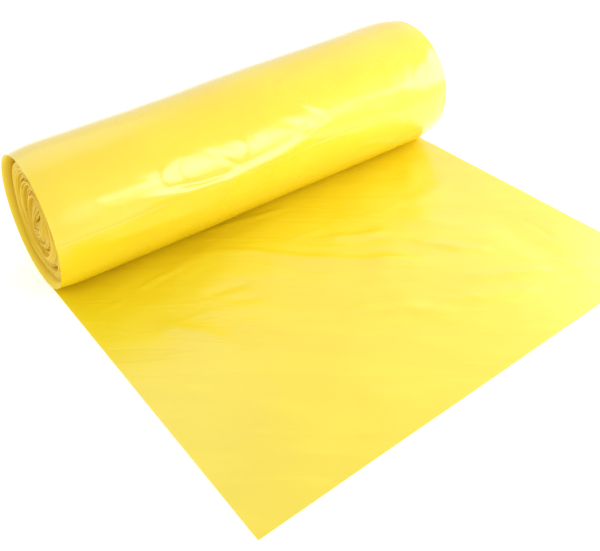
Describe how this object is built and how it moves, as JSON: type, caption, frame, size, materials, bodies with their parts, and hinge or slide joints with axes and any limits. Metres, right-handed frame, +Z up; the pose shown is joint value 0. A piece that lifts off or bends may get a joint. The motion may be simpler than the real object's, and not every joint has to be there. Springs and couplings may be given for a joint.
{
  "type": "garbage bag roll",
  "caption": "Coreless roll of flat plastic refuse bags lying on its side, settled a little oval and conical, with the lead bag unrolled flat in front of it and wrapped round it as the outermost turn.",
  "frame": {"origin": "middle of the underside of the whole object, on the floor", "axes": "+X along the roll's axis, -Y towards the mouth of the unrolled bag, +Z up"},
  "size_m": [0.45, 0.4158, 0.1305],
  "materials": {
    "wound_film": "glossy translucent yellow polyethylene film, many turns",
    "bag_film": "glossy translucent yellow polyethylene film, two plies"
  },
  "bodies": {
    "root": {"wound_roll": "wound_film", "lead_bag": "bag_film"}
  },
  "joints": []
}
